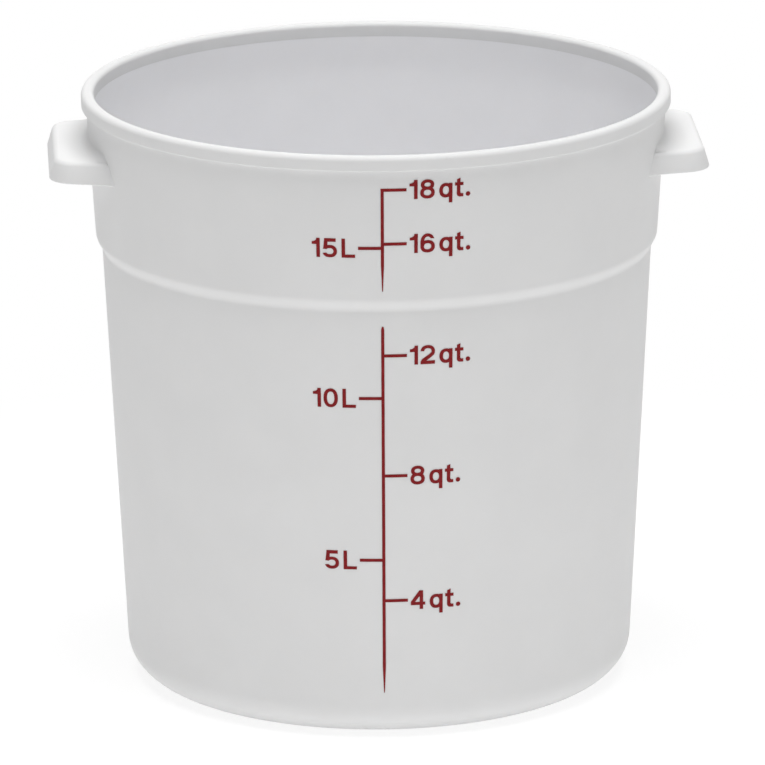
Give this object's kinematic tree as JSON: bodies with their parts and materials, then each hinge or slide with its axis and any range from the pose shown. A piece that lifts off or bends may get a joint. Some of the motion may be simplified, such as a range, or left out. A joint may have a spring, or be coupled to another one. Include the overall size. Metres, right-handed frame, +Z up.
{
  "type": "dough proofing container",
  "caption": "Round, tapered dough proofing tub of natural white plastic, open at the top, with a shoulder, a thick rim, side handles and a printed volume scale.",
  "frame": {"origin": "on the tub's axis, on the ground under the ring that it stands on", "axes": "+Z up along the tub's axis, +X through the middle of the right handle, -Y towards the printed scale"},
  "size_m": [0.34, 0.305, 0.312],
  "materials": {
    "resin": "satin",
    "ink": "matte"
  },
  "bodies": {
    "root": {"tub": "resin", "rim": "resin", "left_handle": "resin", "right_handle": "resin", "upper_scale_line": "ink", "lower_scale_line": "ink", "mark_18_qt": "ink", "mark_16_qt": "ink", "mark_15_l": "ink", "mark_12_qt": "ink", "mark_10_l": "ink", "mark_8_qt": "ink", "mark_5_l": "ink", "mark_4_qt": "ink"}
  },
  "joints": []
}
